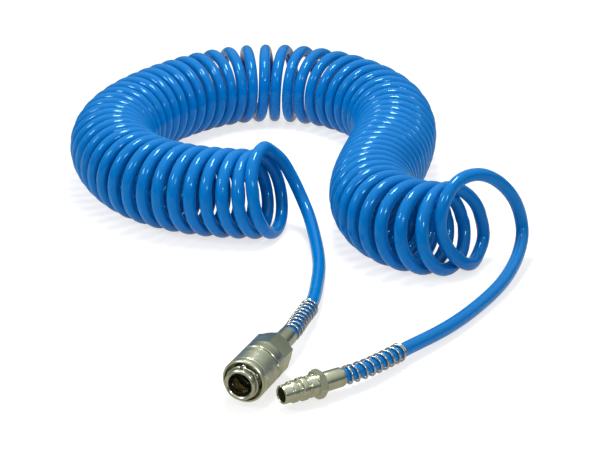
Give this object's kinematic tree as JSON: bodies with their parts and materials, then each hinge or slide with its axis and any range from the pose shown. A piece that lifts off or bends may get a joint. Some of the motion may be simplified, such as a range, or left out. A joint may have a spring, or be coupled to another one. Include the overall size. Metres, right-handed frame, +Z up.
{
  "type": "coiled air hose",
  "caption": "Coiled plastic air hose lying in a ring, with straight leads, spring guards, a sleeve-locked quick coupler on one end and a hexagonal push-in plug on the other",
  "frame": {"origin": "on the floor under the middle of the object's bounding box", "axes": "+Z up from the floor the hose lies on; +Y points away from the two fittings, across the ring of the coil; +X to the right seen from the fittings"},
  "size_m": [0.2968, 0.5008, 0.0644],
  "materials": {
    "hose_tube": "glossy slightly translucent blue polyurethane",
    "nickel_parts": "machined steel with a dull warm nickel or zinc plating",
    "sleeve": "finely knurled plated steel",
    "spring_wire": "bright drawn spring wire",
    "brass_parts": "turned brass",
    "seals": "black nitrile rubber",
    "balls": "polished hardened steel"
  },
  "bodies": {
    "coil": {"hose_coil": "hose_tube", "hose_stretch_coupler_end": "hose_tube", "hose_stretch_plug_end": "hose_tube"},
    "coupler_lead": {"hose_lead_coupler": "hose_tube", "hose_flex_coupler": "hose_tube"},
    "coupler": {"hose_tail_coupler": "hose_tube", "coupler_barrel": "nickel_parts", "coupler_body": "nickel_parts", "sleeve_spring": "spring_wire", "sleeve_circlip": "spring_wire", "valve_spring": "spring_wire", "plug_seal": "seals", "body_seal": "seals", "coupler_hose_stem": "nickel_parts", "coupler_ferrule": "nickel_parts", "coupler_spring_guard": "spring_wire"},
    "sleeve": {"locking_sleeve": "sleeve"},
    "valve": {"valve_poppet": "brass_parts", "valve_seal": "seals"},
    "plug_lead": {"hose_lead_plug": "hose_tube", "hose_flex_plug": "hose_tube"},
    "plug": {"hose_tail_plug": "hose_tube", "plug_nipple": "nickel_parts", "plug_ferrule": "nickel_parts", "plug_spring_guard": "spring_wire"},
    "ball_1": {"locking_ball_1": "balls"},
    "ball_2": {"locking_ball_2": "balls"},
    "ball_3": {"locking_ball_3": "balls"},
    "ball_4": {"locking_ball_4": "balls"},
    "ball_5": {"locking_ball_5": "balls"},
    "ball_6": {"locking_ball_6": "balls"}
  },
  "joints": [
    {"name": "coupler_end_pull", "type": "slide", "parent": "coil", "child": "coupler_lead", "axis": [-0.3795, -0.9252, 0], "range_m": [0, 0.15], "stiffness_N_per_m": 20, "deforming": ["hose_stretch_coupler_end"]},
    {"name": "coupler_swing", "type": "hinge", "parent": "coupler_lead", "child": "coupler", "pos_m": [0.01688, -0.10977, 0.007], "axis": [0, 0, -1], "range_deg": [0, 25], "stiffness_Nm_per_rad": 0.2, "deforming": ["hose_flex_coupler"]},
    {"name": "sleeve_slide", "type": "slide", "parent": "coupler", "child": "sleeve", "axis": [-0.3795, -0.9252, 0], "range_m": [0, 0.0039], "deforming": ["sleeve_spring"]},
    {"name": "valve_slide", "type": "slide", "parent": "coupler", "child": "valve", "axis": [0.3795, 0.9252, 0], "range_m": [0, 0.006], "stiffness_N_per_m": 500, "springref_m": -0.004, "deforming": ["valve_spring"]},
    {"name": "plug_end_pull", "type": "slide", "parent": "coil", "child": "plug_lead", "axis": [0.9397, -0.342, 0], "range_m": [0, 0.25], "stiffness_N_per_m": 20, "deforming": ["hose_stretch_plug_end"]},
    {"name": "plug_swing", "type": "hinge", "parent": "plug_lead", "child": "plug", "pos_m": [0.08009, -0.17051, 0.0057], "axis": [0, 0, 1], "range_deg": [0, 25], "stiffness_Nm_per_rad": 0.2, "deforming": ["hose_flex_plug"]},
    {"name": "ball_1_in", "type": "slide", "parent": "coupler", "child": "ball_1", "axis": [0, 0, -1], "range_m": [0, 0.000975]},
    {"name": "ball_2_in", "type": "slide", "parent": "coupler", "child": "ball_2", "axis": [0.8013, -0.3286, -0.5], "range_m": [0, 0.000975]},
    {"name": "ball_3_in", "type": "slide", "parent": "coupler", "child": "ball_3", "axis": [0.8013, -0.3286, 0.5], "range_m": [0, 0.000975]},
    {"name": "ball_4_in", "type": "slide", "parent": "coupler", "child": "ball_4", "axis": [0, 0, 1], "range_m": [0, 0.000975]},
    {"name": "ball_5_in", "type": "slide", "parent": "coupler", "child": "ball_5", "axis": [-0.8013, 0.3286, 0.5], "range_m": [0, 0.000975]},
    {"name": "ball_6_in", "type": "slide", "parent": "coupler", "child": "ball_6", "axis": [-0.8013, 0.3286, -0.5], "range_m": [0, 0.000975]}
  ],
  "couplings": [
    {"joint": "ball_1_in", "follows": "sleeve_slide", "ratio": 0.25},
    {"joint": "ball_2_in", "follows": "sleeve_slide", "ratio": 0.25},
    {"joint": "ball_3_in", "follows": "sleeve_slide", "ratio": 0.25},
    {"joint": "ball_4_in", "follows": "sleeve_slide", "ratio": 0.25},
    {"joint": "ball_5_in", "follows": "sleeve_slide", "ratio": 0.25},
    {"joint": "ball_6_in", "follows": "sleeve_slide", "ratio": 0.25}
  ]
}
